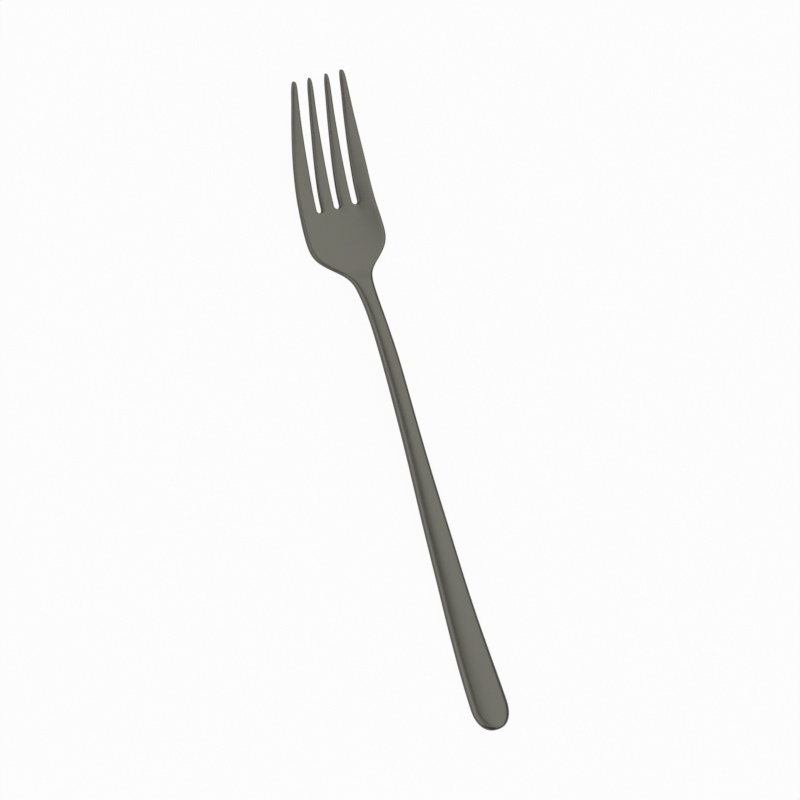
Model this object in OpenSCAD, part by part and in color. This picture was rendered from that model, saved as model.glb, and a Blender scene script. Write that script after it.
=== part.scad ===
// Dinner fork with four tines, pressed in one piece from stainless steel. Millimetres.
// It lies as it does on a laid table, hollow of the bowl up: +Y points to the tips of the tines, +X to
// the right and +Z up. The origin is in the middle of its length, on the surface that it rests on.

/* [Overall] */
// Length from the tips of the tines to the end of the handle
length = 205; // [180:1:240]
// Height of the tips above the table, to their underside
tip_rise = 16.35; // [12:0.05:22]
// Height of the arch under the neck
neck_rise = 5.95; // [3:0.05:8]
// Height of the underside at the end of the handle
end_rise = 1.3; // [0.5:0.05:4]
// How deep the back is worn flat where it rests
flat_depth = 0.06; // [0.04:0.01:0.15]

/* [Head] */
// Length of the head, from the tips to where it has run out into the neck
head_l = 66; // [58:0.5:76]
// Width of the head at its shoulders, where it is widest
head_w = 25.8; // [22:0.05:30]
// Width across the four tips
tips_w = 17.8; // [15:0.05:21]
// Thickness of the head at its shoulders
head_t = 1.95; // [1.6:0.05:2.8]
// How much the rim stands above the middle of the bowl
hollow_h = 0.85; // [0.5:0.05:1.5]
// Height of the rounding of its outer edges
rim_edge_h = 0.65; // [0.3:0.05:0.75]
// Width of the rounding of its outer edges
rim_edge_w = 0.88; // [0.4:0.04:1.1]

/* [Tines] */
// Number of tines
tines = 4; // [3:1:5]
// Length of the tines, from the tips to the roots of the slots
tine_l = 39.35; // [34:0.05:44]
// Width of a slot at its round root
slot_w = 2.1; // [1.6:0.1:2.8]
// Width of a tine just before its point
tine_w = 1.7; // [1.3:0.05:2.1]
// Thickness of a tine at its tip
tine_t = 1.15; // [1:0.05:1.6]
// Length over which a tine narrows to its point
point_l = 5.5; // [3:0.5:8]
// How much each tine is rounded across its top
tine_crown = 0.12; // [0:0.02:0.3]
// Height of the rounding of the edges in the slots
slot_edge_h = 0.35; // [0.2:0.05:0.45]
// Width of the rounding of those edges
slot_edge_w = 0.46; // [0.2:0.02:0.56]
// Height of the rounding at the tips
tip_edge_h = 0.2; // [0.1:0.02:0.4]
// Width of the rounding at the tips
tip_edge_w = 0.22; // [0.1:0.02:0.5]

/* [Neck and handle] */
// Width of the neck at its narrowest
neck_w = 5.2; // [4.2:0.05:6.5]
// Thickness of the neck
neck_t = 2.4; // [2.1:0.1:3.5]
// Width of the handle at its widest, near the end
handle_w = 12.1; // [9:0.05:16]
// Thickness of the handle in the middle of its length
handle_t = 2.65; // [2.2:0.05:3.6]
// Thickness of the handle near its end
end_t = 3.05; // [2.2:0.05:3.6]
// Length of the round end of the handle
end_l = 8.2; // [6:0.1:10]
// How much the top of the handle is rounded across
handle_crown = 0.55; // [0.2:0.05:0.8]
// Height of the rounding of the edges of the neck
neck_edge_h = 0.74; // [0.4:0.02:0.8]
// Width of the rounding of the edges of the neck
neck_edge_w = 1; // [0.4:0.04:1.4]
// Height of the rounding of the edges of the handle in the middle of its length
handle_edge_h = 0.8; // [0.4:0.05:0.9]
// Width of the rounding of those edges
handle_edge_w = 1.08; // [0.4:0.02:1.6]
// Height of the rounding of the edges near the end of the handle
end_edge_h = 1.15; // [0.5:0.05:1.2]
// Width of the rounding of the edges near the end of the handle
end_edge_w = 1.65; // [0.5:0.05:2.4]

/* [Hidden] */

handle_l = length - head_l;
slot_r = slot_w / 2;
tip_pitch = (tips_w - tine_w) / (tines - 1);
slot_tip_w = tip_pitch - tine_w;
// The outer tines are a little wider than the inner ones, so the slots lie a little closer than evenly
pitch_share = 0.97;
// An even number of tines has a middle slot. At the tips it is wider by this share, and the other slots are
// narrower by as much between them.
middle_slot_share = tines % 2 == 0 ? 0.087 : 0;
// Roundness of the points and of the round end seen from above: 2 is an ellipse, more is blunter
point_power = 2.3;
outer_point_power = 3.2;
end_power = 2.3;
// Most of the thickness at the side that the height of an edge may take
edge_share = 0.48;
// Length over which the rounding of the tines runs out behind the roots of the slots
crown_fade = 2 * slot_w;
// Steps round an edge, a slot root, a point and the end of the handle
edge_steps = 2;
root_steps = 4;
point_steps = 5;
end_steps = 8;
// Longest step along the tines, over the shoulders, and along the neck and handle
tine_step = tine_l / 14;
shoulder_step = head_l / 42;
handle_step = handle_l / 32;
// Points are kept to a thousandth of a millimetre, so that points that meet are the same
micron = 0.001;

// Each curve below is a table of [distance from the tips, value] that a smooth curve passes through.
// Distances in the head are shares of its length, and those behind it are shares of the handle's length.
function in_head(share) = head_l * share;
function in_handle(share) = head_l + handle_l * share;

// Half the width of the outline, without the points and the round end
half_head_w_shares = [[0.098, 0.748], [0.284, 0.862], [0.446, 0.936], [0.59, 0.971], [0.68, 0.995],
    [0.727, 0.998], [0.767, 0.976], [0.813, 0.874], [0.859, 0.651], [0.906, 0.388], [0.953, 0.258]];
half_neck_w_shares = [[0, 1.1], [0.022, 1.03], [0.055, 1], [0.15, 1.066], [0.285, 1.146]];
half_handle_w_shares = [[0.415, 0.556], [0.547, 0.665], [0.678, 0.76], [0.81, 0.894], [0.886, 0.967],
    [0.94, 1], [1, 0.99]];
half_w_table = concat(
    [[0, tips_w / 2]],
    [for (p = half_head_w_shares) [in_head(p[0]), head_w / 2 * p[1]]],
    [for (p = half_neck_w_shares) [in_handle(p[0]), neck_w / 2 * p[1]]],
    [for (p = half_handle_w_shares) [in_handle(p[0]), handle_w / 2 * p[1]]]);

// Height of the underside along the middle
tine_rise_shares = [[0, 1], [0.09, 0.822], [0.18, 0.635], [0.27, 0.468], [0.365, 0.3], [0.445, 0.178],
    [0.527, 0.077], [0.582, 0.036], [0.627, 0.012], [0.673, 0.002], [0.71, 0]];
neck_rise_shares = [[0.765, 0.02], [0.812, 0.068], [0.859, 0.16], [0.906, 0.305], [0.953, 0.53]];
arch_rise_shares = [[0, 0.665], [0.022, 0.772], [0.055, 0.9], [0.12, 0.994], [0.155, 0.998], [0.22, 0.918],
    [0.35, 0.663], [0.48, 0.401], [0.61, 0.194], [0.7, 0.068], [0.78, 0]];
end_rise_shares = [[0.84, 0.03], [0.91, 0.37], [1, 1]];
rise_table = concat(
    [for (p = tine_rise_shares) [in_head(p[0]), tip_rise * p[1]]],
    [for (p = neck_rise_shares) [in_head(p[0]), neck_rise * p[1]]],
    [for (p = arch_rise_shares) [in_handle(p[0]), neck_rise * p[1]]],
    [for (p = end_rise_shares) [in_handle(p[0]), end_rise * p[1]]]);

// Thickness along the middle
head_t_shares = [[0.1, 0.7], [0.3, 0.85], [0.6, 1], [0.75, 1], [0.83, 1.03], [0.92, 1.12]];
neck_t_shares = [[0, 0.95], [0.06, 0.95], [0.13, 1], [0.22, 1.05]];
handle_t_shares = [[0.35, 0.99], [0.5, 1], [0.64, 1.01]];
end_t_shares = [[0.75, 0.93], [0.84, 1], [0.92, 1], [1, 0.95]];
thick_table = concat(
    [[0, tine_t]],
    [for (p = head_t_shares) [in_head(p[0]), head_t * p[1]]],
    [for (p = neck_t_shares) [in_handle(p[0]), neck_t * p[1]]],
    [for (p = handle_t_shares) [in_handle(p[0]), handle_t * p[1]]],
    [for (p = end_t_shares) [in_handle(p[0]), end_t * p[1]]]);

// How much the rim of the bowl stands above its middle
hollow_shares = [[0, 0], [0.2, 0], [0.285, 0.12], [0.365, 0.55], [0.445, 0.85], [0.53, 0.95], [0.6, 0.98],
    [0.675, 1], [0.765, 0.88], [0.812, 0.73], [0.859, 0.49], [0.906, 0.22], [0.953, 0.05]];
hollow_table = concat(
    [for (p = hollow_shares) [in_head(p[0]), hollow_h * p[1]]],
    [[in_handle(0.03), 0], [in_handle(0.5), 0], [in_handle(1), 0]]);

// How much the top is rounded across, from edge to edge
head_crown_shares = [[0, 0], [0.5, 0], [0.8, 0.05], [0.88, 0.25], [1, 0.7]];
handle_crown_shares = [[0.08, 0.78], [0.15, 0.85], [0.3, 0.95], [0.55, 1], [0.8, 1.1], [1, 1.1]];
crown_table = concat(
    [for (p = head_crown_shares) [in_head(p[0]), handle_crown * p[1]]],
    [for (p = handle_crown_shares) [in_handle(p[0]), handle_crown * p[1]]]);

// Height and width of the rounding of the outer edges, from where the points of the tines end
rim_edge_shares = [[0.2, 0.5], [0.45, 0.5], [0.6, 0.65], [0.7, 0.9], [0.8, 1]];
neck_edge_shares = [[0, 1], [0.13, 1]];
handle_edge_shares = [[0.25, 1], [0.45, 1], [0.65, 1]];
end_edge_shares = [[0.84, 0.88], [0.92, 1], [1, 1]];
function edge_table(slot, rim, neck, handle, end) = concat(
    [[point_l, slot]],
    [for (p = rim_edge_shares) [in_head(p[0]), rim * p[1]]],
    [for (p = neck_edge_shares) [in_handle(p[0]), neck * p[1]]],
    [for (p = handle_edge_shares) [in_handle(p[0]), handle * p[1]]],
    [for (p = end_edge_shares) [in_handle(p[0]), end * p[1]]]);
edge_h_table = edge_table(slot_edge_h, rim_edge_h, neck_edge_h, handle_edge_h, end_edge_h);
edge_w_table = edge_table(slot_edge_w, rim_edge_w, neck_edge_w, handle_edge_w, end_edge_w);

// A natural cubic curve through a table. Its bends are the second derivatives at the table's points, found
// by the usual sweep forwards and back.
function gap(t, i) = t[i + 1][0] - t[i][0];
function slope(t, i) = (t[i + 1][1] - t[i][1]) / gap(t, i);
function sweep(t, i, last) =
    let (pivot = 2 * (gap(t, i - 1) + gap(t, i)) - gap(t, i - 1) * last[0])
    [gap(t, i) / pivot, (6 * (slope(t, i) - slope(t, i - 1)) - gap(t, i - 1) * last[1]) / pivot];
function forwards(t) = [for (i = 0, f = [0, 0]; i < len(t) - 1; i = i + 1,
    f = i < len(t) - 1 ? sweep(t, i, f) : f) f];
function backwards(f) = [for (i = len(f), m = 0; i >= 0; i = i - 1,
    m = i > 0 ? f[i][1] - f[i][0] * m : 0) m];
function bends(t) = let (m = backwards(forwards(t))) [for (i = [len(m) - 1:-1:0]) m[i]];
function span(t, x, i = 0) = i >= len(t) - 2 || x < t[i + 1][0] ? i : span(t, x, i + 1);
function curve(t, m, x) =
    let (i = span(t, x), g = gap(t, i), b = (x - t[i][0]) / g, a = 1 - b)
    a * t[i][1] + b * t[i + 1][1] + ((a ^ 3 - a) * m[i] + (b ^ 3 - b) * m[i + 1]) * g ^ 2 / 6;

half_w_bends = bends(half_w_table);
rise_bends = bends(rise_table);
thick_bends = bends(thick_table);
hollow_bends = bends(hollow_table);
crown_bends = bends(crown_table);
edge_h_bends = bends(edge_h_table);
edge_w_bends = bends(edge_w_table);

function half_w(at) = curve(half_w_table, half_w_bends, at);
function rise(at) = curve(rise_table, rise_bends, at);
function thick(at) = curve(thick_table, thick_bends, at);
function hollow(at) = max(0, curve(hollow_table, hollow_bends, at));
function crown(at) = max(0, curve(crown_table, crown_bends, at));

function mix(a, b, share) = a + (b - a) * share;
function ease(share) = share ^ 2 * (3 - 2 * share);
// Half-width left where a round end has come to a share of its length
function round_end(share, power) = share <= 0 ? 1 : share >= 1 ? 0 : (1 - share ^ power) ^ (1 / power);
// How far an edge of [height, width] has fallen at a distance in from the outline
function fall(edge, inside) =
    let (share = min(1, max(0, inside) / edge[1]))
    edge[0] * (1 - sqrt(1 - (1 - share) ^ 2));
// Distances in from the outline at which an edge of [height, width] is drawn
function edge_levels(edge) = [for (k = [0:edge_steps]) edge[1] * (1 - cos(90 * k / edge_steps))];
slot_edge = [slot_edge_h, slot_edge_w];
tip_edge = [tip_edge_h, tip_edge_w];
// The edge of a tine, which is finer at the tip
function tine_edge(at) = mix(tip_edge, slot_edge, min(1, at / point_l));
function outer_edge(at) = at <= point_l ? tine_edge(at)
    : [min(curve(edge_h_table, edge_h_bends, at), edge_share * (thick(at) - crown(at))),
        curve(edge_w_table, edge_w_bends, at)];

// A station is [distance from the tips, half-width, how much the outline leans there, its outer edge, the
// edge beside a slot]
AT = 0;
HALF_W = 1;
LEAN = 2;
EDGE = 3;
TINE_EDGE = 4;
function station(at) = [at, half_w(at),
    (half_w(at + slot_edge_w) - half_w(at - slot_edge_w)) / (2 * slot_edge_w), outer_edge(at),
    tine_edge(at)];

// The outline at a station, drawn in by a distance
function outline(s, inside) =
    let (share = (end_l - (length - s[AT])) / (end_l - inside))
    share <= 0 ? s[HALF_W] - inside * sqrt(1 + s[LEAN] ^ 2)
        : (s[HALF_W] - inside) * round_end(share, end_power);
function inner_w(s) = outline(s, s[EDGE][1]);

// Half a slot, widened by a distance. It closes in a half circle at its root.
root = station(tine_l);
root_middle = tine_l - slot_r;
root_pitch = 2 * root[HALF_W] / tines * pitch_share;
function tip_half(slot) =
    slot_tip_w / 2 * (1 + middle_slot_share * (slot == tines / 2 ? 1 : -1 / (tines - 2)));
function slot_half(slot, at, outside) = at > root_middle
    ? sqrt(max(0, (slot_r + outside) ^ 2 - (at - root_middle) ^ 2))
    : mix(tip_half(slot), slot_r, ease(at / root_middle)) + outside;
slot_tip_pitch = tip_half(1) + tine_w + tip_half(2);
// The middle line of a slot, which goes on behind its root to the end of the handle
function slot_x(slot, s) = (slot - tines / 2) * (s[AT] < tine_l
    ? mix(slot_tip_pitch, root_pitch, s[AT] / tine_l)
    : root_pitch * inner_w(s) / inner_w(root));

// The sides of a strip. Each tine is a strip, and the strips go on side by side behind the slots.
function left_x(strip, s, inside) = strip == 0 ? -outline(s, inside)
    : slot_x(strip, s) + slot_half(strip, s[AT], inside);
function right_x(strip, s, inside) = -left_x(tines - 1 - strip, s, inside);
function middle_x(strip, s, left_in, right_in) =
    (left_x(strip, s, left_in) + right_x(strip, s, right_in)) / 2;
function half_strip(strip, s, left_in, right_in) =
    (right_x(strip, s, right_in) - left_x(strip, s, left_in)) / 2;

// The edge beside a line: a slot's beside the slots, and the rim's elsewhere
function is_outer(strip, side) = side == 0 || strip == (side < 0 ? 0 : tines - 1);
function side_edge(strip, s, side) = is_outer(strip, side) || s[AT] > head_l ? s[EDGE]
    : s[TINE_EDGE];
function is_outer_tine(strip) = strip == 0 || strip == tines - 1;
// Where a line along a strip runs: on its left side (-1), in its middle (0) or on its right side (1)
function line_x(strip, s, level, side) =
    let (left = edge_levels(side_edge(strip, s, -1)), right = edge_levels(side_edge(strip, s, 1)),
        middle = middle_x(strip, s, left[edge_steps], right[edge_steps]),
        power = is_outer_tine(strip) ? outer_point_power : point_power)
    side == 0 ? middle
        : s[AT] < point_l ? middle + side * half_strip(strip, s, left[level], right[level])
            * round_end((point_l - s[AT]) / (point_l - (side < 0 ? left : right)[level]), power)
        : side < 0 ? left_x(strip, s, left[level]) : right_x(strip, s, right[level]);
// How far in from the nearest edge that line is. Behind a root there is no edge beside it.
function line_inside(strip, s, level, side) =
    let (inside = edge_levels(side_edge(strip, s, side))[level])
    min(is_outer(strip, side) ? inside : max(inside, s[AT] - tine_l), s[AT], length - s[AT]);

// Lines across a strip, as [level of the edge, side]
lines = concat([for (k = [0:edge_steps]) [k, -1]], [[edge_steps, 0]],
    [for (k = [edge_steps:-1:0]) [k, 1]]);

// Places along the fork where a row of points is drawn, from the tips to the end of the handle
function steps(from, to, step) = let (n = ceil((to - from) / step)) [for (k = [1:n]) mix(from, to, k / n)];
last_edge = station(length)[EDGE];
rows = concat(
    edge_levels(tip_edge),
    [for (k = [1:point_steps]) mix(tip_edge_w, point_l, (k / point_steps) ^ 2)],
    steps(point_l, root_middle, tine_step),
    [for (k = [1:root_steps]) root_middle + slot_r * sin(90 * k / root_steps)],
    [for (k = [1:edge_steps]) tine_l + edge_levels(slot_edge)[k]],
    steps(tine_l + slot_edge_w, head_l, shoulder_step),
    steps(head_l, length - end_l, handle_step),
    [for (k = [1:end_steps]) length - mix(last_edge[1], end_l, 1 - sin(90 * k / end_steps))],
    [for (k = [edge_steps - 1:-1:0]) length - edge_levels(last_edge)[k]]);
// Rows in front of this one are cut into tines
root_row = len([for (at = rows) if (at < tine_l - micron) at]);

function snap(v) = [for (c = v) round(c / micron) * micron];

// The points of one row: a top and a bottom point on each line of each strip. The sides of the head stand
// square to its hollow, so its top is a little narrower than its outline and its underside a little wider.
// The tines end square to the slope that they rise at, so their top is a little shorter than their underside.
tip_slope = -slope(rise_table, 0);
function row_points(at) =
    let (s = station(at), y = length / 2 - at, low = rise(at) - flat_depth, t = thick(at),
        bowl = hollow(at), round = crown(at),
        square = bowl * t / s[HALF_W] ^ 2,
        tine = tine_crown * ease(max(0, 1 - max(0, at - tine_l) / crown_fade)),
        shear = tip_slope * ease(max(0, 1 - at / point_l)))
    [for (strip = [0:tines - 1]) for (line = lines)
        let (x = line_x(strip, s, line[0], line[1]),
            drop = fall(side_edge(strip, s, line[1]), line_inside(strip, s, line[0], line[1])),
            across = (x / s[HALF_W]) ^ 2,
            across_tine = tine > 0 ? ((x - middle_x(strip, s, 0, 0)) / half_strip(strip, s, 0, 0)) ^ 2 : 0,
            top = low + t + (bowl - round) * across - tine * across_tine - drop,
            under = max(0, low + bowl * across) + drop)
        each [snap([x * (1 - square), y - shear * max(0, top - low - tip_edge_h), top]),
            snap([x * (1 + square), y - shear * max(0, under - low - tip_edge_h), under])]];
points = [for (at = rows) each row_points(at)];

function index(row, strip, line, side) = ((row * tines + strip) * len(lines) + line) * 2 + side;
TOP = 0;
UNDER = 1;
function is_face(f) = points[f[0]] != points[f[1]] && points[f[1]] != points[f[2]]
    && points[f[2]] != points[f[0]];
function patch(a, b, c, d) = [for (f = [[a, b, c], [a, c, d]]) if (is_face(f)) f];
// Top and underside, between two rows and two lines
skins = [for (i = [0:len(rows) - 2]) for (strip = [0:tines - 1]) for (j = [0:len(lines) - 2])
    each concat(
        patch(index(i, strip, j, TOP), index(i, strip, j + 1, TOP),
            index(i + 1, strip, j + 1, TOP), index(i + 1, strip, j, TOP)),
        patch(index(i, strip, j, UNDER), index(i + 1, strip, j, UNDER),
            index(i + 1, strip, j + 1, UNDER), index(i, strip, j + 1, UNDER)))];
// Side walls, on both sides of each tine, and on the two outer sides behind the roots
walls = [for (i = [0:len(rows) - 2]) for (strip = [0:tines - 1])
    each concat(
        i < root_row || strip == 0
            ? patch(index(i, strip, 0, TOP), index(i + 1, strip, 0, TOP),
                index(i + 1, strip, 0, UNDER), index(i, strip, 0, UNDER))
            : [],
        i < root_row || strip == tines - 1
            ? patch(index(i + 1, strip, len(lines) - 1, TOP), index(i, strip, len(lines) - 1, TOP),
                index(i, strip, len(lines) - 1, UNDER), index(i + 1, strip, len(lines) - 1, UNDER))
            : [])];

module fork() {
    color("#72726a")
        polyhedron(points, concat(skins, walls), convexity = 6);
}

fork();
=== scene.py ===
# %% [markdown]
# # A dinner fork in dark satin steel
# A table fork is one piece. A blank of stainless steel is rolled thinner towards the tines, pressed
# to its curves, slotted, ground round its edges and brushed. This one is dark and a little warm, so
# it is made as if a thin coating had then been laid on in a vacuum. The whole look is in two
# things: how exactly the surface bends, and how the satin metal blurs its surroundings. So most of
# this lesson makes one smooth mesh, and the rest gives it one good finish and something plain to
# reflect.
#
# The imported part is loaded first. It fixes where everything goes, and its length is read from its
# box.

from math import ceil, cos, pi, radians, sin, sqrt, tan

import bmesh
import bpy
from mathutils import Matrix, Vector


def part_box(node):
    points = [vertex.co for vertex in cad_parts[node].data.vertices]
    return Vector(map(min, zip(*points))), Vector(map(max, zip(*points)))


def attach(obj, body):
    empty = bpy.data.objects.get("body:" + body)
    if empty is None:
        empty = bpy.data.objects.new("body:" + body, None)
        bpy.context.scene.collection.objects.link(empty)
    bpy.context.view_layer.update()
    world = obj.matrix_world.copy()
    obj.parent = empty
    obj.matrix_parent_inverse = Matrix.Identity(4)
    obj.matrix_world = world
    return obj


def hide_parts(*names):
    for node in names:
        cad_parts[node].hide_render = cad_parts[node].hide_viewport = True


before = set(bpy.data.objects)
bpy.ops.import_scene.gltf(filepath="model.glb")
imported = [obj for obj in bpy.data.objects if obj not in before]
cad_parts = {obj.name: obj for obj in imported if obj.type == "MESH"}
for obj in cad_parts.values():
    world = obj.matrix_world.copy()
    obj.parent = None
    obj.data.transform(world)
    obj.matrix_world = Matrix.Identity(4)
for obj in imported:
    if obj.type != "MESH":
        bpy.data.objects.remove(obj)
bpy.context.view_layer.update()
MM = 0.001
low_corner, high_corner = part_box("fork")
length = (high_corner[1] - low_corner[1]) / MM
print("length of the packed fork:", round(length, 2), "mm")

# %% [markdown]
# ## The sizes of the real fork
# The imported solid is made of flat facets, a few hundred along each edge. They would show as bands
# in a satin surface, so the fork is made again here from the same sizes, only much finer. These are
# its driving sizes in millimetres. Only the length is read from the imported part.

# %% Driving sizes
tip_rise, neck_rise, end_rise = 16.35, 5.95, 1.3  # height of the underside: tips, arch, end
flat_depth = 0.06  # how deep the back is worn flat where it rests
head_l, head_w, head_t, tips_w = 66, 25.8, 1.95, 17.8
hollow_h = 0.85  # how much the rim stands above the middle of the bowl
tines, tine_l, tine_w, tine_t, point_l = 4, 39.35, 1.7, 1.15, 5.5
slot_w = 2.1  # at its round root
tine_crown = 0.12  # how much each tine is rounded across its top
tip_edge_h, tip_edge_w = 0.2, 0.22  # height and width of the rounding of an edge, here at the tips
slot_edge_h, slot_edge_w = 0.35, 0.46
rim_edge_h, rim_edge_w = 0.65, 0.88
neck_w, neck_t, neck_edge_h, neck_edge_w = 5.2, 2.4, 0.74, 1
handle_w, handle_t, handle_edge_h, handle_edge_w, handle_crown = 12.1, 2.65, 0.8, 1.08, 0.55
end_l, end_t, end_edge_h, end_edge_w = 8.2, 3.05, 1.15, 1.65  # the round end of the handle

handle_l = length - head_l
slot_r = slot_w / 2
tip_pitch = (tips_w - tine_w) / (tines - 1)
slot_tip_w = tip_pitch - tine_w
print("slots:", slot_w, "mm at the root and", round(slot_tip_w, 2), "mm at the tips")

# %% [markdown]
# ## Curves through a few points
# A fork has no straight lines and no plain arcs: its outline and its side view are drawn by hand,
# as curves through a few chosen points. A natural cubic curve does the same. It bends as a thin
# steel rule does when it is held at those points, so its slope and its bending never jump, and
# neither do the reflections.
#
# Each table holds [distance from the tips, value]. Distances in the head are shares of its length,
# and those behind it are shares of the handle's length.


# %% The cubic curve
def natural_curve(table):
    """A function that runs smoothly through the table's points."""
    x = [point[0] for point in table]
    y = [point[1] for point in table]
    gap = [b - a for a, b in zip(x, x[1:])]
    slope = [(b - a) / g for a, b, g in zip(y, y[1:], gap)]
    factor, rest = [0], [0]
    for i in range(1, len(gap)):
        pivot = 2 * (gap[i - 1] + gap[i]) - gap[i - 1] * factor[-1]
        factor.append(gap[i] / pivot)
        rest.append((6 * (slope[i] - slope[i - 1]) - gap[i - 1] * rest[-1]) / pivot)
    bend = [0] * len(x)
    for i in reversed(range(1, len(gap))):
        bend[i] = rest[i] - factor[i] * bend[i + 1]

    def value(at):
        i = 0
        while i < len(gap) - 1 and at >= x[i + 1]:
            i += 1
        b = (at - x[i]) / gap[i]
        a = 1 - b
        bent = (a**3 - a) * bend[i] + (b**3 - b) * bend[i + 1]
        return a * y[i] + b * y[i + 1] + bent * gap[i] ** 2 / 6

    return value


def mix(a, b, share):
    return a + (b - a) * share


def ease(share):
    return share**2 * (3 - 2 * share)


def in_head(share):
    return head_l * share


def in_handle(share):
    return head_l + handle_l * share


def head_table(shares, size):
    return [[in_head(share), size * value] for share, value in shares]


def handle_table(shares, size):
    return [[in_handle(share), size * value] for share, value in shares]


print("the head ends", in_head(1), "mm from the tips and the handle", round(in_handle(1), 1), "mm")

# %% [markdown]
# ## The outline
# The head widens from the tips to the shoulders and then draws in quickly to the neck. Behind the
# neck the handle widens slowly, almost to its end.

# %% Half-width
half_head_w_shares = [
    [0.098, 0.748], [0.284, 0.862], [0.446, 0.936], [0.59, 0.971], [0.68, 0.995], [0.727, 0.998],
    [0.767, 0.976], [0.813, 0.874], [0.859, 0.651], [0.906, 0.388], [0.953, 0.258],
]  # fmt: skip
half_neck_w_shares = [[0, 1.1], [0.022, 1.03], [0.055, 1], [0.15, 1.066], [0.285, 1.146]]
half_handle_w_shares = [
    [0.415, 0.556], [0.547, 0.665], [0.678, 0.76], [0.81, 0.894], [0.886, 0.967], [0.94, 1],
    [1, 0.99],
]  # fmt: skip
half_w = natural_curve(
    [[0, tips_w / 2]]
    + head_table(half_head_w_shares, head_w / 2)
    + handle_table(half_neck_w_shares, neck_w / 2)
    + handle_table(half_handle_w_shares, handle_w / 2)
)
shoulders, neck = in_head(0.727), in_handle(0.055)
print("width at the shoulders:", round(2 * half_w(shoulders), 1), "mm")
print("width at the neck:", round(2 * half_w(neck), 1), "mm")

# %% [markdown]
# ## The side view
# Seen from the side the tines curve up, the back of the bowl touches the table, the neck arches
# over it, and the handle comes down to the table and lifts a little at its end.
#
# The slope of the tines at their tips is kept, because they are cut off square to it.

# %% Height of the underside
tine_rise_shares = [
    [0, 1], [0.09, 0.822], [0.18, 0.635], [0.27, 0.468], [0.365, 0.3], [0.445, 0.178],
    [0.527, 0.077], [0.582, 0.036], [0.627, 0.012], [0.673, 0.002], [0.71, 0],
]  # fmt: skip
neck_rise_shares = [[0.765, 0.02], [0.812, 0.068], [0.859, 0.16], [0.906, 0.305], [0.953, 0.53]]
arch_rise_shares = [
    [0, 0.665], [0.022, 0.772], [0.055, 0.9], [0.12, 0.994], [0.155, 0.998], [0.22, 0.918],
    [0.35, 0.663], [0.48, 0.401], [0.61, 0.194], [0.7, 0.068], [0.78, 0],
]  # fmt: skip
end_rise_shares = [[0.84, 0.03], [0.91, 0.37], [1, 1]]
rise = natural_curve(
    head_table(tine_rise_shares, tip_rise)
    + head_table(neck_rise_shares, neck_rise)
    + handle_table(arch_rise_shares, neck_rise)
    + handle_table(end_rise_shares, end_rise)
)
sloping = in_head(tine_rise_shares[1][0])
tip_slope = (rise(0) - rise(sloping)) / sloping
print("the neck stands", round(rise(neck), 1), "mm above the table")
print("the tips rise by", round(tip_slope, 2), "mm in each mm")

# %% [markdown]
# ## Thickness, hollow and edges
# The steel is thinnest at the tips, thicker in the neck, where it is bent hardest in use, and
# thickest at the end of the handle, which gives the fork its balance. The bowl is barely hollow.
# The handle is a little rounded across, and all edges are ground round.

# %% Thickness, hollow, crown and edges
head_t_shares = [[0.1, 0.7], [0.3, 0.85], [0.6, 1], [0.75, 1], [0.83, 1.03], [0.92, 1.12]]
neck_t_shares = [[0, 0.95], [0.06, 0.95], [0.13, 1], [0.22, 1.05]]
handle_t_shares = [[0.35, 0.99], [0.5, 1], [0.64, 1.01]]
end_t_shares = [[0.75, 0.93], [0.84, 1], [0.92, 1], [1, 0.95]]
thick = natural_curve(
    [[0, tine_t]]
    + head_table(head_t_shares, head_t)
    + handle_table(neck_t_shares, neck_t)
    + handle_table(handle_t_shares, handle_t)
    + handle_table(end_t_shares, end_t)
)
hollow_shares = [
    [0, 0], [0.2, 0], [0.285, 0.12], [0.365, 0.55], [0.445, 0.85], [0.53, 0.95], [0.6, 0.98],
    [0.675, 1], [0.765, 0.88], [0.812, 0.73], [0.859, 0.49], [0.906, 0.22], [0.953, 0.05],
]  # fmt: skip
bare_handle_shares = [[0.03, 0], [0.5, 0], [1, 0]]
hollow = natural_curve(
    head_table(hollow_shares, hollow_h) + handle_table(bare_handle_shares, hollow_h)
)
crown_shares = [[0, 0], [0.5, 0], [0.8, 0.05], [0.88, 0.25], [1, 0.7]]
full_crown_shares = [[0.08, 0.78], [0.15, 0.85], [0.3, 0.95], [0.55, 1], [0.8, 1.1], [1, 1.1]]
crown = natural_curve(
    head_table(crown_shares, handle_crown) + handle_table(full_crown_shares, handle_crown)
)
rim_edge_shares = [[0.2, 0.5], [0.45, 0.5], [0.6, 0.65], [0.7, 0.9], [0.8, 1]]
neck_edge_shares = [[0, 1], [0.13, 1]]
handle_edge_shares = [[0.25, 1], [0.45, 1], [0.65, 1]]
end_edge_shares = [[0.84, 0.88], [0.92, 1], [1, 1]]
most_edge_share = 0.48  # of the thickness at the side


def edge_curve(slot, rim, neck, handle, end):
    return natural_curve(
        [[point_l, slot]]
        + head_table(rim_edge_shares, rim)
        + handle_table(neck_edge_shares, neck)
        + handle_table(handle_edge_shares, handle)
        + handle_table(end_edge_shares, end)
    )


edge_height = edge_curve(slot_edge_h, rim_edge_h, neck_edge_h, handle_edge_h, end_edge_h)
edge_width = edge_curve(slot_edge_w, rim_edge_w, neck_edge_w, handle_edge_w, end_edge_w)


def side_t(at):
    return thick(at) - max(0, crown(at))


def tine_edge(at):
    """Height and width of the rounding beside a slot, which is finer at the tip."""
    share = min(1, at / point_l)
    return mix(tip_edge_h, slot_edge_h, share), mix(tip_edge_w, slot_edge_w, share)


def outer_edge(at):
    """Height and width of the rounding of the outer edge."""
    if at <= point_l:
        return tine_edge(at)
    return min(edge_height(at), most_edge_share * side_t(at)), edge_width(at)


for name, at in (("tips", 0), ("neck", neck), ("end", length)):
    print("rounding of the edges at the", name, [round(size, 2) for size in outer_edge(at)], "mm")

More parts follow.
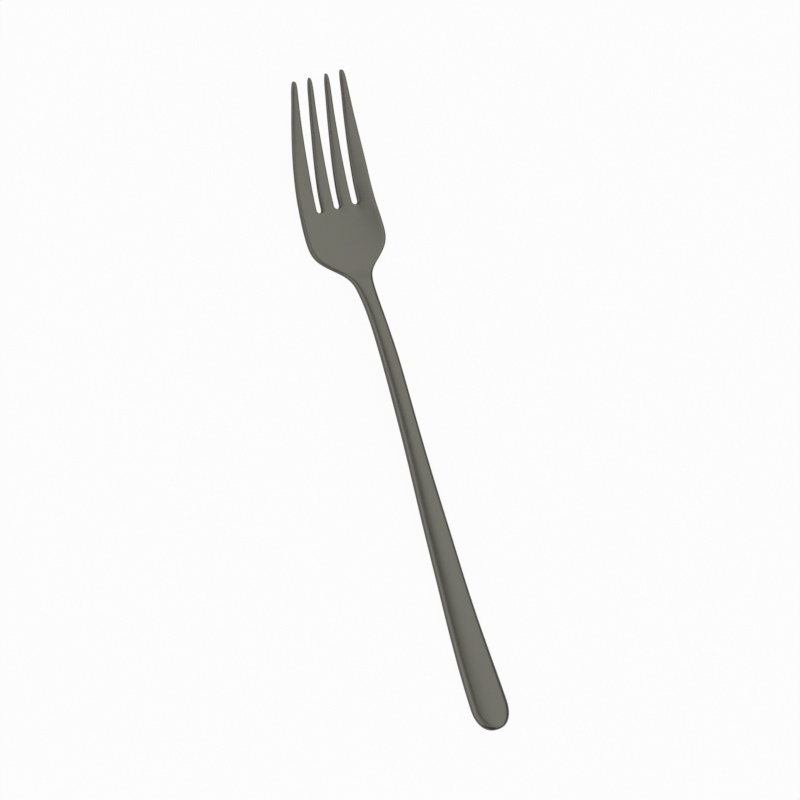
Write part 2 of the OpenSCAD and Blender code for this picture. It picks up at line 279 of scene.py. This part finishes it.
# %% [markdown]
# ## Slots and tines
# The slots are narrow at their round roots and wider at the tips. Each tine is a strip of the mesh,
# and the strips go on side by side behind the slots, so that one grid covers the whole fork. A
# station holds what is the same right across the fork at one distance from the tips.

# %% Outline, slots and strips
pitch_share = 0.97  # the outer tines are a little wider than the inner ones
crown_fade = 2 * slot_w  # length behind the roots over which the rounding of the tines runs out
middle_slot_share = 0.087  # how much wider than the others the middle slot is at the tips
# Roundness of the points and the round end from above: 2 is an ellipse, and more is blunter
point_power, outer_point_power, end_power = 2.3, 3.2, 2.3


def round_end(share, power):
    """The half-width that is left where a round end has come to this share of its length."""
    return (1 - min(1, max(0, share)) ** power) ** (1 / power)


class Station:
    def __init__(self, at):
        self.at = at
        self.half_w = half_w(at)
        self.lean = (half_w(at + slot_edge_w) - half_w(at - slot_edge_w)) / (2 * slot_edge_w)
        self.edge = outer_edge(at)
        self.tine_edge = tine_edge(at)

    def outline(self, inside):
        """Half-width of the outline, drawn in by a distance."""
        share = (end_l - (length - self.at)) / (end_l - inside)
        if share <= 0:
            return self.half_w - inside * sqrt(1 + self.lean**2)
        return (self.half_w - inside) * round_end(share, end_power)


root = Station(tine_l)
root_middle = tine_l - slot_r
root_pitch = 2 * root.half_w / tines * pitch_share


def tip_half(slot):
    share = middle_slot_share if slot == tines / 2 else -middle_slot_share / (tines - 2)
    return slot_tip_w / 2 * (1 + share)


slot_tip_pitch = tip_half(1) + tine_w + tip_half(2)


def slot_half(slot, at, outside):
    """Half a slot, widened by a distance. It closes in a half circle at its root."""
    if at > root_middle:
        return sqrt(max(0, (slot_r + outside) ** 2 - (at - root_middle) ** 2))
    return mix(tip_half(slot), slot_r, ease(at / root_middle)) + outside


def slot_x(slot, s):
    """The middle line of a slot, which goes on behind its root to the end of the handle."""
    if s.at < tine_l:
        return (slot - tines / 2) * mix(slot_tip_pitch, root_pitch, s.at / tine_l)
    return (slot - tines / 2) * root_pitch * s.outline(s.edge[1]) / root.outline(root.edge[1])


def left_x(strip, s, inside):
    if strip == 0:
        return -s.outline(inside)
    return slot_x(strip, s) + slot_half(strip, s.at, inside)


def right_x(strip, s, inside):
    return -left_x(tines - 1 - strip, s, inside)


print("distance between slots:", round(slot_tip_pitch, 2), "mm at the tips")
print("distance between slots:", round(root_pitch, 2), "mm at the roots")

# %% [markdown]
# ## The grid
# Lines run along each strip: several close together round each edge, which the eye follows most,
# and a few over the top between them. Rows run across, close together at the points, the slot roots
# and the round end.

# %% Lines and rows
edge_steps, top_steps = 6, 6
root_steps, point_steps, end_steps = 12, 12, 26
tine_step, shoulder_step, handle_step = 0.9, 0.7, 1.2  # mm between rows
point_crowding = 1.5  # more draws the rows of a point closer to its front


def edge_levels(edge):
    """Distances in from the outline at which an edge of (height, width) is drawn."""
    return [edge[1] * (1 - cos(pi / 2 * k / edge_steps)) for k in range(edge_steps + 1)]


def steps(start, end, step):
    count = ceil((end - start) / step)
    return [mix(start, end, k / count) for k in range(1, count + 1)]


lines = (
    [(k, -1) for k in range(edge_steps)]
    + [(edge_steps, 2 * k / top_steps - 1) for k in range(top_steps + 1)]
    + [(k, 1) for k in reversed(range(edge_steps))]
)
tip_edge, slot_edge, last_edge = tine_edge(0), tine_edge(tine_l), outer_edge(length)


def point_row(k):
    return mix(tip_edge_w, point_l, (k / point_steps) ** point_crowding)


def end_row(k):
    return length - mix(end_l, last_edge[1], sin(pi / 2 * k / end_steps))


rows = (
    edge_levels(tip_edge)
    + [point_row(k) for k in range(1, point_steps + 1)]
    + steps(point_l, root_middle, tine_step)
    + [root_middle + slot_r * sin(pi / 2 * k / root_steps) for k in range(1, root_steps + 1)]
    + [tine_l + level for level in edge_levels(slot_edge)[1:]]
    + steps(tine_l + slot_edge_w, head_l, shoulder_step)
    + steps(head_l, length - end_l, handle_step)
    + [end_row(k) for k in range(1, end_steps + 1)]
    + [length - level for level in reversed(edge_levels(last_edge)[:-1])]
)
close = 0.001  # mm: points nearer than this are one point
root_row = sum(at < tine_l - close for at in rows)
print(len(rows), "rows of", tines * len(lines), "points on each side")

# %% [markdown]
# ## Points
# Each point is found in three moves: across to its line, up to its face, and down or up again where
# the edge is round. The sides of the head stand square to its hollow, so its top is a little
# narrower than its outline and its underside a little wider. The ends of the tines stand square to
# the slope that they rise at, so their top is a little shorter than their underside.


# %% Points of one row
def fall(edge, inside):
    """How far an edge of (height, width) has fallen at a distance in from the outline."""
    share = min(1, max(0, inside) / edge[1])
    return edge[0] * (1 - sqrt(1 - (1 - share) ** 2))


def is_outer(strip, side):
    """Whether a line of a strip has no slot beside it."""
    return abs(side) < 1 or strip == (0 if side < 0 else tines - 1)


def side_edge(strip, s, side):
    """The edge beside a line: a slot's beside the slots, and the rim's elsewhere."""
    return s.edge if is_outer(strip, side) or s.at > head_l else s.tine_edge


def line_x(strip, s, level, side):
    """Where a line runs, from the left side of its strip (-1) to its right side (1)."""
    left_levels, right_levels = (edge_levels(side_edge(strip, s, end)) for end in (-1, 1))
    left, right = left_x(strip, s, left_levels[level]), right_x(strip, s, right_levels[level])
    middle = (left_x(strip, s, left_levels[-1]) + right_x(strip, s, right_levels[-1])) / 2
    if s.at < point_l:
        inside = (left_levels if side < 0 else right_levels)[level]
        power = outer_point_power if strip in (0, tines - 1) else point_power
        left_over = round_end((point_l - s.at) / (point_l - inside), power)
        return middle + side * (right - left) / 2 * left_over
    if abs(side) < 1:
        return middle + side * (right - left) / 2
    return left if side < 0 else right


def line_inside(strip, s, level, side):
    """How far in from the nearest edge a line is. Behind a root there is no edge beside it."""
    inside = edge_levels(side_edge(strip, s, side))[level]
    return min(inside if is_outer(strip, side) else max(inside, s.at - tine_l), s.at, length - s.at)


def row_points(at):
    s = Station(at)
    y = length / 2 - at
    low = rise(at) - flat_depth
    t, bowl, rounding = thick(at), max(0, hollow(at)), max(0, crown(at))
    square = bowl * t / s.half_w**2
    tine = tine_crown * ease(max(0, 1 - max(0, at - tine_l) / crown_fade))
    shear = tip_slope * ease(max(0, 1 - at / point_l))
    points = []
    for strip in range(tines):
        left, right = left_x(strip, s, 0), right_x(strip, s, 0)
        for level, side in lines:
            x = line_x(strip, s, level, side)
            drop = fall(side_edge(strip, s, side), line_inside(strip, s, level, side))
            across = (x / s.half_w) ** 2
            across_tine = ((2 * x - left - right) / (right - left)) ** 2 if tine > 0 else 0
            top = low + t + (bowl - rounding) * across - tine * across_tine - drop
            under = max(0, low + bowl * across) + drop
            for wide, z in ((1 - square, top), (1 + square, under)):
                points.append((x * wide, y - max(0, z - low - tip_edge_h) * shear, z))
    return points


points = [point for at in rows for point in row_points(at)]
print(len(points), "points")

# %% [markdown]
# ## Faces
# Four neighbours in the grid make a face of the top and one of the underside. Walls close the sides
# of each tine, and behind the roots only the two outer sides. Where the grid draws together, at the
# points, the slot roots and the round end, points that fall on one place are merged and what has no
# area is dissolved.


# %% Faces of the grid
def index(row, strip, line, under):
    return ((row * tines + strip) * len(lines) + line) * 2 + under


faces = []
last = len(lines) - 1
for row in range(len(rows) - 1):
    for strip in range(tines):
        for line in range(last):
            for under in (0, 1):
                face = [
                    index(row, strip, line, under),
                    index(row, strip, line + 1, under),
                    index(row + 1, strip, line + 1, under),
                    index(row + 1, strip, line, under),
                ]
                faces.append(face[::-1] if under else face)
        for line, outer in ((0, strip == 0), (last, strip == tines - 1)):
            if row < root_row or outer:
                face = [
                    index(row, strip, line, 0),
                    index(row + 1, strip, line, 0),
                    index(row + 1, strip, line, 1),
                    index(row, strip, line, 1),
                ]
                faces.append(face if line == 0 else face[::-1])
print(len(faces), "faces before merging")

# %% Mesh of the fork
mesh = bpy.data.meshes.new("satin_fork")
mesh.from_pydata([[MM * value for value in point] for point in points], [], faces)
grid = bmesh.new()
grid.from_mesh(mesh)
bmesh.ops.remove_doubles(grid, verts=grid.verts, dist=close * MM)
bmesh.ops.dissolve_degenerate(grid, edges=grid.edges, dist=close * MM)
bmesh.ops.recalc_face_normals(grid, faces=grid.faces)
open_edges = sum(not edge.is_manifold for edge in grid.edges)
volume = grid.calc_volume()
grid.to_mesh(mesh)
grid.free()
mesh.shade_smooth()
fork = bpy.data.objects.new("satin_fork", mesh)
bpy.context.scene.collection.objects.link(fork)
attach(fork, "root")
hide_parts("fork")
print(len(mesh.polygons), "faces and", open_edges, "open edges")
print(round(volume / MM**3), "cubic millimetres")

# %% [markdown]
# ## Colours and nodes
# Colours are picked as hex values, as they look on the screen, but a shader counts light, so each
# is turned to linear first. A material is a small net of nodes. One function adds a node with its
# settings and its links, which keeps each material below as short as a list.


# %% Colours and nodes
def linear(hex_colour):
    """The linear colour of an sRGB hex value such as #72726a."""
    values = [int(hex_colour[i : i + 2], 16) / 255 for i in (1, 3, 5)]
    return [v / 12.92 if v <= 0.04045 else ((v + 0.055) / 1.055) ** 2.4 for v in values] + [1]


def add_node(tree, kind, settings=None, inputs=None):
    """Adds a node. Settings are its properties, and inputs are values or sockets to link."""
    node = tree.nodes.new(kind)
    for name, value in (settings or {}).items():
        setattr(node, name, value)
    for name, value in (inputs or {}).items():
        if isinstance(value, bpy.types.NodeSocket):
            tree.links.new(value, node.inputs[name])
        else:
            node.inputs[name].default_value = value
    return node


print("middle grey #808080 is", round(linear("#808080")[0], 3), "in linear light")

# %% [markdown]
# ## Satin coated steel
# Such a finish is made in two steps. The steel is brushed lengthwise with fine grit, which leaves
# it satin, and then coated in a vacuum with a hard nitride a few thousandths of a millimetre thick.
# The coating takes on the brushing, so the fork still mirrors as metal does, only darker and a
# little warmer than bare steel.
#
# To the eye that gives soft reflections without a hot spot, drawn out by faint lines that run
# lengthwise, and slightly browner patches, taken here as places where the coating is thicker. The
# lines come from a noise that is stretched along the fork, and they change the colour, the
# roughness and, very little, the relief. Brushed steel has a roughness of about 0.3. The patches
# come from a second noise, as large as a thumb print. Where they fall is chance, not measured.

# %% Satin coated steel
# A real brush line is about 0.05 mm across, too fine to show, so it is drawn wider
brush_line = 0.35  # mm across a brush line
brush_run = 18  # mm that a brush line runs
patch = 16  # mm across a patch of thicker coating
patch_strength = 0.5  # how much of the browner colour such a patch takes
patch_seed = 7  # picks where the patches fall
patch_from, patch_full = 0.45, 0.7  # the noise where a patch begins and where it is full
brush_low, brush_high = 0.3, 0.7  # between these lies nearly all of the brushing's noise
smoothest, roughest = 0.27, 0.33  # roughness
brush_detail, brush_coarseness = 3, 0.6  # finer layers of the noise, and how strong they are
brush_relief = 0.005  # mm deep
relief_strength = 0.1

steel = bpy.data.materials.new("satin_coated_steel")
steel.use_nodes = True
tree = steel.node_tree
tree.nodes.clear()
place = add_node(tree, "ShaderNodeTexCoord")
along = add_node(
    tree, "ShaderNodeMapping", inputs={
        "Vector": place.outputs["Object"],
        "Scale": (1 / (brush_line * MM), 1 / (brush_run * MM), 1 / (brush_line * MM)),
    },
)  # fmt: skip
brushing = add_node(
    tree, "ShaderNodeTexNoise", inputs={
        "Vector": along.outputs["Vector"], "Scale": 1, "Detail": brush_detail,
        "Roughness": brush_coarseness,
    },
)  # fmt: skip
patches = add_node(
    tree, "ShaderNodeTexNoise", {"noise_dimensions": "4D"}, {
        "Vector": place.outputs["Object"], "W": patch_seed, "Scale": 1 / (patch * MM), "Detail": 1,
    },
)  # fmt: skip
thicker = add_node(
    tree, "ShaderNodeMapRange", inputs={
        "Value": patches.outputs["Fac"], "From Min": patch_from, "From Max": patch_full,
        "To Min": 0, "To Max": patch_strength,
    },
)  # fmt: skip
brushed = add_node(
    tree, "ShaderNodeMix", {"data_type": "RGBA"}, {
        "Factor": brushing.outputs["Fac"], "A": linear("#73736a"), "B": linear("#7a7a71"),
    },
)  # fmt: skip
colour = add_node(
    tree, "ShaderNodeMix", {"data_type": "RGBA"}, {
        "Factor": thicker.outputs["Result"], "A": brushed.outputs["Result"], "B": linear("#7b736b"),
    },
)  # fmt: skip
satin = add_node(
    tree, "ShaderNodeMapRange", inputs={
        "Value": brushing.outputs["Fac"], "From Min": brush_low, "From Max": brush_high,
        "To Min": smoothest, "To Max": roughest,
    },
)  # fmt: skip
relief = add_node(
    tree, "ShaderNodeBump", inputs={
        "Height": brushing.outputs["Fac"], "Strength": relief_strength,
        "Distance": brush_relief * MM,
    },
)  # fmt: skip
metal = add_node(
    tree, "ShaderNodeBsdfPrincipled", inputs={
        "Base Color": colour.outputs["Result"], "Metallic": 1, "Roughness": satin.outputs["Result"],
        "Normal": relief.outputs["Normal"],
    },
)  # fmt: skip
add_node(tree, "ShaderNodeOutputMaterial", inputs={"Surface": metal.outputs["BSDF"]})
mesh.materials.append(steel)
print("finish:", steel.name, "with", len(tree.nodes), "nodes")

# %% [markdown]
# ## The table top
# The fork lies on a white table top that has no edge in view. A mix of two shaders keeps it plain
# white in the picture: a matt one that takes light and shadow, and a glowing one that only some
# rays see. The camera sees mostly the glow, so the white is even and the shadow faint. Gloss sees
# mostly the lit surface, which is darker close round the fork, as it is under a real one.

# %% Table top
floor_w = 6  # m
glow_seen, glow_in_gloss = 0.95, 0.15  # share of the glow that the camera and reflections see

bpy.ops.mesh.primitive_plane_add(size=floor_w)
floor = bpy.context.object
floor.name = "table_top"
paper = bpy.data.materials.new("white_table_top")
paper.use_nodes = True
tree = paper.node_tree
tree.nodes.clear()
ray = add_node(tree, "ShaderNodeLightPath")
lit = add_node(tree, "ShaderNodeBsdfDiffuse", inputs={"Color": linear("#f0f0ee")})
glow = add_node(tree, "ShaderNodeEmission", inputs={"Color": linear("#ffffff"), "Strength": 1})
bounced = add_node(
    tree, "ShaderNodeMath", {"operation": "ADD"}, {
        0: ray.outputs["Is Glossy Ray"], 1: ray.outputs["Is Transmission Ray"],
    },
)  # fmt: skip
in_gloss = add_node(
    tree, "ShaderNodeMath", {"operation": "MULTIPLY"}, {
        0: bounced.outputs["Value"], 1: glow_in_gloss,
    },
)  # fmt: skip
glow_share = add_node(
    tree, "ShaderNodeMath", {"operation": "MULTIPLY_ADD"}, {
        0: ray.outputs["Is Camera Ray"], 1: glow_seen, 2: in_gloss.outputs["Value"],
    },
)  # fmt: skip
both = add_node(
    tree, "ShaderNodeMixShader", inputs={
        "Fac": glow_share.outputs["Value"], 1: lit.outputs["BSDF"], 2: glow.outputs["Emission"],
    },
)  # fmt: skip
add_node(tree, "ShaderNodeOutputMaterial", inputs={"Surface": both.outputs["Shader"]})
floor.data.materials.append(paper)
print("table top:", floor_w, "m wide")

# %% [markdown]
# ## The room
# Satin metal shows a blurred picture of what stands round it, tinted by its own colour. A dim grey
# room gives the dark streaks along the handle, where the metal faces straight up between the lamps
# of the two sides. The camera sees the room white, and reflections see it dim.

# %% Dim room
room_level = 0.14

world = bpy.data.worlds.new("studio")
bpy.context.scene.world = world
world.use_nodes = True
tree = world.node_tree
tree.nodes.clear()
ray = add_node(tree, "ShaderNodeLightPath")
level = add_node(
    tree, "ShaderNodeMapRange", inputs={
        "Value": ray.outputs["Is Camera Ray"], "To Min": room_level, "To Max": 1,
    },
)  # fmt: skip
sky = add_node(
    tree, "ShaderNodeBackground", inputs={
        "Color": linear("#ffffff"), "Strength": level.outputs["Result"],
    },
)  # fmt: skip
add_node(tree, "ShaderNodeOutputWorld", inputs={"Surface": sky.outputs["Background"]})
print("room level:", room_level)

# %% [markdown]
# ## Four softboxes
# Cutlery is lit with large soft lamps, because a small one would leave a hot spot. On the left one
# lamp reaches down to the table and lights the side of the handle, and a dimmer one hangs above it,
# so that the light fades out into the dark streak. On the right a wide one lights the whole top. A
# small one over the end of the handle keeps the tines from getting that dark streak too, because
# they slope the other way.
#
# A lamp's place is where it is seen from the fork, and its size the angle that it spans. Its
# brightness is the level that a mirror would show, and the lamp's power is worked out from that.

# %% Softboxes
lamp_distance = 1.2  # m from the fork
aim_height = 5  # mm above the table
aim = Vector((0, 0, aim_height * MM))


def span_size(degrees):
    """The size of a lamp that spans this angle seen from the fork."""
    return 2 * lamp_distance * tan(radians(degrees) / 2)


def add_lamp(name, azimuth, elevation, span_along, span_up, level):
    """A softbox that looks at the fork. Azimuth 0 is towards -Y and 90 towards +X."""
    lamp = bpy.data.lights.new(name, "AREA")
    lamp.shape = "RECTANGLE"
    lamp.size, lamp.size_y = span_size(span_along), span_size(span_up)
    lamp.energy = level * pi * lamp.size * lamp.size_y
    box = bpy.data.objects.new(name, lamp)
    bpy.context.scene.collection.objects.link(box)
    a, e = radians(azimuth), radians(elevation)
    back = Vector((sin(a) * cos(e), -cos(a) * cos(e), sin(e)))
    turn = back.to_track_quat("Z", "Y").to_matrix().to_4x4()
    box.matrix_world = Matrix.Translation(aim + back * lamp_distance) @ turn
    box.visible_camera = False
    print(name, round(lamp.size, 2), "by", round(lamp.size_y, 2), "m,", round(lamp.energy, 1), "W")


# Degrees: where the lamp stands round the fork and above the table, how wide and how high it
# spans. Last is its level.
add_lamp("left_softbox", -90, 28, 70, 46, 0.92)
add_lamp("left_high_softbox", -80, 67, 76, 34, 0.44)
add_lamp("right_softbox", 97, 56, 118, 52, 0.85)
add_lamp("small_softbox", 0, 66, 20, 12, 0.6)

# %% [markdown]
# ## The camera
# The picture of the fork is taken from above, a little from its left and from the handle's end, and
# from far off, so that near and far parts have the same scale. The camera therefore stands 4 m away
# with a long lens. Its three directions are written down one by one: to the right, up and back in
# the picture. Turning the first two about the third lays the fork slanting in the frame.

# %% Camera
tilt = radians(23)  # to the left
lean = radians(4.77)  # to the handle's end
roll = radians(16.91)  # in the frame
distance = 4  # m
view_w = 0.2424  # m across the picture, at the fork
sensor_w = 36  # mm
target = Vector((-0.084, 1.65, 5.118)) * MM  # the middle of the picture

right = Vector((cos(tilt), 0, sin(tilt)))
up = Vector((-sin(tilt) * sin(lean), cos(lean), cos(tilt) * sin(lean)))
back = right.cross(up)
picture_up = up * cos(roll) + right * sin(roll)
picture_right = right * cos(roll) - up * sin(roll)
camera_data = bpy.data.cameras.new("camera")
camera_data.sensor_width = sensor_w
camera_data.lens = sensor_w * distance / view_w
camera = bpy.data.objects.new("camera", camera_data)
bpy.context.scene.collection.objects.link(camera)
turn = Matrix((picture_right, picture_up, back)).transposed()
camera.matrix_world = Matrix.Translation(target + back * distance) @ turn.to_4x4()
bpy.context.scene.camera = camera
bpy.context.scene.view_settings.view_transform = "Standard"
print("lens:", round(camera_data.lens), "mm,", round(view_w / MM), "mm across the picture")
